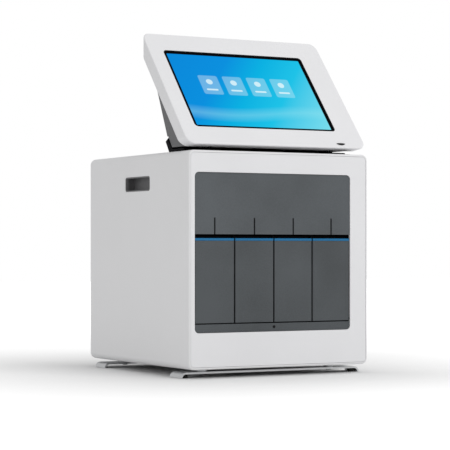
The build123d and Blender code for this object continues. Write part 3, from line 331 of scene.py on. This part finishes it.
def grid_piece(name, grids, finish, body, closed_rows=False, closed_columns=False):
    """A mesh of quads over copies of a grid of points: an array of (copies, rows, columns, 3). It is
    shaded smooth up to the crease angle."""
    crease = np.radians(35)
    copies, rows, columns = grids.shape[:3]
    index = np.arange(copies * rows * columns).reshape(copies, rows, columns)
    if closed_rows:
        index = np.concatenate([index, index[:, :1]], axis=1)
    if closed_columns:
        index = np.concatenate([index, index[:, :, :1]], axis=2)
    quads = np.stack([index[:, :-1, :-1], index[:, :-1, 1:], index[:, 1:, 1:], index[:, 1:, :-1]], axis=-1)
    mesh = bpy.data.meshes.new(name)
    mesh.from_pydata(grids.reshape(-1, 3).tolist(), [], quads.reshape(-1, 4).tolist())
    shape = bmesh.new()
    shape.from_mesh(mesh)
    bmesh.ops.remove_doubles(shape, verts=shape.verts, dist=0.000002)
    bmesh.ops.recalc_face_normals(shape, faces=shape.faces)
    shape.to_mesh(mesh)
    shape.free()
    mesh.shade_smooth()
    mesh.set_sharp_from_angle(angle=crease)
    mesh.materials.append(finish)
    piece = bpy.data.objects.new(name, mesh)
    bpy.context.scene.collection.objects.link(piece)
    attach(piece, body)
    return piece


def stand_on(shape, places, out, across):
    """Copies of a shape at the places, its own Z turned to point out and its own X across."""
    out = unit(out)
    across = unit(across)
    axes = np.stack([across, np.cross(out, across), out])
    return (shape @ axes)[None] + np.asarray(places, float)[:, None, None, :]


def pan_head(radius, rise):
    """A pan head with a cross recess. Where r is the distance from its middle and R its radius, its height
    is rise * (0.35 + 0.65 (1 - (r / R)^4)^0.5), less the recess where x or y is under about 0.1 R and r is
    under about 0.6 R. Its last row drops to 0 at R."""
    recess = 0.55
    share = np.array([0, 0.08, 0.16, 0.24, 0.34, 0.44, 0.54, 0.6, 0.66, 0.76, 0.86, 0.94, 0.985, 1.0, 1.0])
    angle = np.linspace(0, 2 * np.pi, 48, endpoint=False)
    r = share[:, None] * radius
    x = r * np.cos(angle)
    y = r * np.sin(angle)
    dome = rise * (0.35 + 0.65 * np.sqrt(np.clip(1 - share**4, 0, 1)))[:, None]
    arm = np.clip((0.17 * radius - np.minimum(abs(x), abs(y))) / (0.07 * radius), 0, 1)
    inner = np.clip((0.63 - share) / 0.06, 0, 1)[:, None]
    z = dome - recess * rise * arm * inner
    z[-1] = 0
    return np.stack([x, y, z], axis=-1)


def lathe(radii, heights, spokes):
    """A profile of radii and heights turned about its own Z: (r cos a, r sin a, h)."""
    angle = np.linspace(0, 2 * np.pi, spokes, endpoint=False)
    r = np.asarray(radii, float)[:, None]
    h = np.asarray(heights, float)[:, None]
    return np.stack([r * np.cos(angle), r * np.sin(angle), h + 0 * angle], axis=-1)


def rounded_loop(width, height, corner):
    """The points round a rounded rectangle: at each corner its centre + corner * (cos a, sin a)."""
    corner_points = 9
    quarter = np.arange(4)[:, None] * np.pi / 2 + np.linspace(0, np.pi / 2, corner_points)
    side_x = np.array([1, -1, -1, 1])[:, None]
    side_y = np.array([1, 1, -1, -1])[:, None]
    x = side_x * (width / 2 - corner) + corner * np.cos(quarter)
    y = side_y * (height / 2 - corner) + corner * np.sin(quarter)
    return x.ravel(), y.ravel()


def tube(path, radius, sides):
    """A round tube along a path of points, closed to a point at both ends. The tangent t at each point
    has the normals n = side x t and b = t x n, and the skin is path + radius (n cos a + b sin a)."""
    path = np.asarray(path, float)
    tangent = np.gradient(path, axis=0)
    tangent /= np.linalg.norm(tangent, axis=1, keepdims=True)
    side = np.array([1.0, 0.0, 0.0])
    if abs(tangent[0] @ side) > 0.9:
        side = np.array([0.0, 0.0, 1.0])
    normal = np.cross(side, tangent)
    normal /= np.linalg.norm(normal, axis=1, keepdims=True)
    third = np.cross(tangent, normal)
    angle = np.linspace(0, 2 * np.pi, sides, endpoint=False)[None, :, None]
    skin = path[:, None] + radius * (normal[:, None] * np.cos(angle) + third[:, None] * np.sin(angle))
    first = np.repeat(path[:1, None], sides, axis=1)
    last = np.repeat(path[-1:, None], sides, axis=1)
    return np.concatenate([first, skin, last])


# Screws of the rear panel and of the fans, on the back.
edge_x = 118 * MM
low_z, middle_z, high_z = 34 * MM, 156.5 * MM, 279 * MM
panel_screws = [(x, rear_face, z) for x in (-edge_x, edge_x) for z in (low_z, middle_z, high_z)]
panel_screws += [(0, rear_face, high_z), (0, rear_face, low_z)]
panel_shape = stand_on(pan_head(3.4 * MM, 1.9 * MM), panel_screws, (0, 1, 0), (-1, 0, 0))
grid_piece("rear_panel_screws", panel_shape, steel, "cabinet", closed_columns=True)
fan_reach = 35.75 * MM
fan_screws = [
    (x + a * fan_reach, rear_face, z + b * fan_reach)
    for x, z in fan_places for a in (-1, 1) for b in (-1, 1)
]
fan_shape = stand_on(pan_head(3.1 * MM, 1.6 * MM), fan_screws, (0, 1, 0), (-1, 0, 0))
grid_piece("fan_screws", fan_shape, black_coat_and_gap_shade, "cabinet", closed_columns=True)

# Wire guards of the fans: rings of round wire, (R + r cos b) out from the fan's middle and r sin b
# along its axis, welded on four struts that end in an eye round each screw.
wire = 0.8 * MM
strut_y = rear_face + wire
ring_y = strut_y + 1.35 * MM
round_ring = np.linspace(0, 2 * np.pi, 96, endpoint=False)[:, None]
round_wire = np.linspace(0, 2 * np.pi, 10, endpoint=False)[None, :]
rings = []
for x, z in fan_places:
    for radius in np.array([9, 18, 27, 36]) * MM:
        out = radius + wire * np.cos(round_wire)
        rings.append(np.stack([
            x + out * np.cos(round_ring),
            ring_y + wire * np.sin(round_wire) + 0 * round_ring,
            z + out * np.sin(round_ring),
        ], axis=-1))
guard_rings = grid_piece("fan_guard_rings", np.stack(rings), steel, "cabinet",
                         closed_rows=True, closed_columns=True)
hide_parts("fan_guards")
eye_radius = 4.1 * MM
strut_start = 8.5 * MM
screw_reach = fan_reach * 2**0.5
straight = np.linspace(strut_start, screw_reach - eye_radius, 14)
struts = []
for x, z in fan_places:
    for quarter in range(4):
        turn = np.pi / 4 + quarter * np.pi / 2
        along = np.array([np.cos(turn), np.sin(turn)])
        aside = np.array([-np.sin(turn), np.cos(turn)])
        circle = np.linspace(np.pi, 3 * np.pi - 0.12, 40)[1:]
        bend_points = (screw_reach + eye_radius * np.cos(circle))[:, None] * along
        bend_points = bend_points + (eye_radius * np.sin(circle))[:, None] * aside
        flat = np.concatenate([straight[:, None] * along, bend_points])
        line = np.column_stack([x + flat[:, 0], np.full(len(flat), strut_y), z + flat[:, 1]])
        struts.append(tube(line, wire, 10))
grid_piece("fan_guard_struts", np.stack(struts), steel, "cabinet", closed_columns=True)

# Screws through the foot rails into the spacers, seen from below.
rail_under = 5.2 * MM
spacer_x = 100 * MM
rail_y = 117 * MM
rail_screws = [(x, y, rail_under) for x in (-spacer_x, spacer_x) for y in (-rail_y, rail_y)]
rail_shape = stand_on(pan_head(4 * MM, 2.2 * MM), rail_screws, (0, 0, -1), (1, 0, 0))
grid_piece("foot_rail_screws", rail_shape, steel, "cabinet", closed_columns=True)

# Screws in the corners of the pod's sloping back, which rises from the pod's heel.
cabinet_top = 301 * MM
pod_heel_y = front + 89 * MM
pod_heel_z = cabinet_top + 22 * MM
pod_lean = np.radians(25)
pod_out = (0, np.cos(pod_lean), -np.sin(pod_lean))


def on_pod(x, z):
    """A point of the pod's sloping back at this X and height."""
    return (x, pod_heel_y + (z - pod_heel_z) * np.tan(pod_lean), z)


pod_edge_x = 112 * MM
pod_low_z, pod_high_z = 335 * MM, 408 * MM
pod_screws = [on_pod(x, z) for x in (-pod_edge_x, pod_edge_x) for z in (pod_low_z, pod_high_z)]
pod_shape = stand_on(pan_head(3.2 * MM, 1.7 * MM), pod_screws, pod_out, (-1, 0, 0))
grid_piece("pod_screws", pod_shape, black_coat_and_gap_shade, "screen", closed_columns=True)

# Rubber feet under the turned ends of the rails. Seen from above each is a rounded rectangle; its sides
# draw in towards the floor, and its top follows the inside of the bend, where the height is
# (r^2 - (x - m)^2)^0.5 past the bend's middle line m.
bend_middle = 132.3 * MM
bend_inside = 5.2 * MM
under_rail = 0.985
foot_x = 132 * MM
foot_y = 126 * MM
foot_length, foot_depth, foot_corner = 9.6 * MM, 9 * MM, 2.4 * MM
foot_rows = [(0.0, 0.0), (0.86, 0.0), (0.92, 0.05), (0.95, 0.15), (1.0, 0.92), (0.97, 1.0), (0.0, 1.0)]
loop_x, loop_y = rounded_loop(foot_length, foot_depth, foot_corner)
foot = []
for share, lift in foot_rows:
    foot_end_x = foot_x + share * loop_x
    past = np.clip(foot_end_x - bend_middle, 0, bend_inside * 0.999)
    foot_z = lift * under_rail * np.sqrt(bend_inside**2 - past**2)
    foot.append(np.stack([foot_end_x, share * loop_y, foot_z], axis=-1))
foot = np.stack(foot)
feet = np.stack([
    foot * (side, 1, 1) + (0, end * foot_y, 0) for side in (-1, 1) for end in (-1, 1)
])
rubber_feet = grid_piece("rubber_feet", feet, rubber, "cabinet", closed_columns=True)
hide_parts("foot_pads")

# The black seal that lines the edge of the screen's window.
seal_profile = [
    (0.02, 1.78), (0.02, 0.22), (0.12, 0.08), (0.35, 0.04), (0.8, 0.12), (1.0, 0.35), (1.05, 1.78),
]
seal_rows = []
for inset, inward in seal_profile:
    loop_x, loop_y = rounded_loop(
        window_width - 2 * inset * MM, window_height - 2 * inset * MM, window_corner - inset * MM
    )
    slant = window_slant + loop_y
    seal_rows.append(np.stack([
        window_shift + loop_x,
        screen_y + slant * lean_sin + inward * MM * lean_cos,
        screen_z + slant * lean_cos - inward * MM * lean_sin,
    ], axis=-1))
seal = np.stack(seal_rows)[None]
grid_piece("window_seal", seal, sealing, "screen", closed_rows=True, closed_columns=True)

# The small dark lens in the sill strip's round window, with a thin rim that lies on the strip.
lens_profile = np.array([
    (0, 0.55), (0.35, 0.52), (0.7, 0.42), (0.95, 0.25), (1.05, 0.3), (1.05, 0.98), (1.2, 1.12),
    (1.8, 1.08), (2.1, 0.95), (2.15, 0.82), (1.07, 0.82), (1.05, -1.8), (0, -1.8),
]) * MM
sill_lens = lathe(lens_profile[:, 0], lens_profile[:, 1], 40)
sill_place = [(panel_middle, panel_front + 0.8 * MM, 66.5 * MM)]
grid_piece("sill_lens", stand_on(sill_lens, sill_place, (0, -1, 0), (1, 0, 0)), lens_black, "cabinet",
           closed_columns=True)

# Guide bars on both walls of each bay, rounded, with tapered front ends.
bar_y = np.array([-146, -145.4, -144, -110, -96, -95.4]) * MM
bar_size = np.array([0.0, 0.6, 1.0, 1.0, 1.0, 0.0])
turn = np.linspace(0, 2 * np.pi, 16, endpoint=False)
bar_x = 0.5 * MM * bar_size[:, None] * np.cos(turn)
bar_z = 1.6 * MM * bar_size[:, None] * np.sin(turn)
bar_shape = np.stack([bar_x, bar_y[:, None] + 0 * turn, bar_z], axis=-1)
bar_wall = 29.3 * MM
bar_places = [
    (x + side * bar_wall, 0, z)
    for x in module_places for side in (-1, 1) for z in (98 * MM, 140 * MM)
]
bars = bar_shape[None] + np.array(bar_places)[:, None, None, :]
grid_piece("bay_guide_bars", bars, sheet, "cabinet", closed_columns=True)

# Spring contacts of the network jack: eight gold wires that run out under its roof and dip at its mouth.
contact_path = np.array([
    (136.5, 60.6), (139, 60.8), (143, 60.2), (147, 57.8), (148.2, 57.6), (148.6, 58.2),
]) * MM
jack_x = 70 * MM
contact_pitch = 1.02 * MM
contacts = []
for place in np.arange(8) - 3.5:
    contact_x = np.full(len(contact_path), jack_x + contact_pitch * place)
    contacts.append(tube(np.column_stack([contact_x, contact_path]), 0.22 * MM, 8))
grid_piece("jack_contacts", np.stack(contacts), gold, "cabinet", closed_columns=True)


# The floor, the light and the camera.


def plain_floor():
    """A flat square floor that takes the object's soft shadow near it, and turns white further out by a
    glow that shows to the camera, in mirrors and through glass, and lights nothing."""
    half = 6.0
    mesh = bpy.data.meshes.new("floor")
    corners = [(-half, -half, 0), (half, -half, 0), (half, half, 0), (-half, half, 0)]
    mesh.from_pydata(corners, [], [(0, 1, 2, 3)])
    floor = bpy.data.objects.new("floor", mesh)
    bpy.context.scene.collection.objects.link(floor)
    material, tree, shader = new_finish("floor white")
    shader.inputs["Base Color"].default_value = (0.80, 0.80, 0.80, 1)
    shader.inputs["Roughness"].default_value = 1
    shader.inputs["Specular IOR Level"].default_value = 0
    path = tree.nodes.new("ShaderNodeLightPath")
    seen = calc(tree, "MAXIMUM", path.outputs["Is Camera Ray"], path.outputs["Is Glossy Ray"])
    seen = calc(tree, "MAXIMUM", seen, path.outputs["Is Transmission Ray"])
    coordinates = tree.nodes.new("ShaderNodeTexCoord")
    parts = tree.nodes.new("ShaderNodeSeparateXYZ")
    tree.links.new(coordinates.outputs["Object"], parts.inputs["Vector"])
    out_x = beyond(tree, parts.outputs["X"], 140 * MM)
    out_y = beyond(tree, parts.outputs["Y"], -front)
    away = length(tree, out_x, out_y)
    near = spread(tree, away, 0.0, 1.0, 0.0, 0.34)
    far = spread(tree, away, 0.0, 1.8, 0.34, 2.0)
    rise = calc(tree, "ADD", calc(tree, "POWER", near, 0.7), far)
    tree.links.new(calc(tree, "MULTIPLY", rise, seen), shader.inputs["Emission Strength"])
    shader.inputs["Emission Color"].default_value = (0.36, 0.36, 0.36, 1)
    mesh.materials.append(material)


def soft_world(level):
    """A white surrounding that lights at a plain level and shows as white behind the object."""
    world = bpy.data.worlds.new("studio")
    world.use_nodes = True
    tree = world.node_tree
    lighting = tree.nodes["Background"]
    lighting.inputs["Color"].default_value = (1, 1, 1, 1)
    lighting.inputs["Strength"].default_value = level
    shown = tree.nodes.new("ShaderNodeBackground")
    shown.inputs["Color"].default_value = (1, 1, 1, 1)
    shown.inputs["Strength"].default_value = 1
    path = tree.nodes.new("ShaderNodeLightPath")
    mix = tree.nodes.new("ShaderNodeMixShader")
    tree.links.new(path.outputs["Is Camera Ray"], mix.inputs["Fac"])
    tree.links.new(lighting.outputs["Background"], mix.inputs[1])
    tree.links.new(shown.outputs["Background"], mix.inputs[2])
    tree.links.new(mix.outputs["Shader"], tree.nodes["World Output"].inputs["Surface"])
    bpy.context.scene.world = world


def softbox(name, place, target, side, power):
    """A square area lamp that looks at the target."""
    lamp = bpy.data.lights.new(name, "AREA")
    lamp.size = side
    lamp.energy = power
    holder = bpy.data.objects.new(name, lamp)
    bpy.context.scene.collection.objects.link(holder)
    direction = np.array(target) - np.array(place)
    holder.location = place
    holder.rotation_mode = "QUATERNION"
    holder.rotation_quaternion = Vector(direction).to_track_quat("-Z", "Y")


def photo_camera():
    """The level camera fitted to the photograph, in front of the cabinet's left corner."""
    data = bpy.data.cameras.new("photo")
    data.sensor_width = 36
    data.lens = 142.52
    data.shift_y = 0.0512
    data.clip_start = 0.05
    data.clip_end = 60
    camera = bpy.data.objects.new("photo", data)
    bpy.context.scene.collection.objects.link(camera)
    camera.location = (-1.23303, -2.21042, 0.17212)
    turn = np.radians(29.17)
    camera.rotation_mode = "QUATERNION"
    camera.rotation_quaternion = Vector((np.sin(turn), np.cos(turn), 0)).to_track_quat("-Z", "Y")
    bpy.context.scene.camera = camera


plain_floor()
soft_world(0.62)
softbox("key", (0.9, -2.6, 1.7), (0, -0.1, 0.15), 1.6, 23)
softbox("side fill", (-2.6, -0.6, 1.2), (0, 0, 0.2), 1.6, 5.6)
softbox("edge light", (2.6, -0.25, 1.0), (0, 0, 0.2), 1.2, 12)
softbox("top light", (0, -0.3, 2.6), (0, 0, 0.3), 1.6, 3)
photo_camera()
bpy.context.scene.view_settings.view_transform = "Standard"
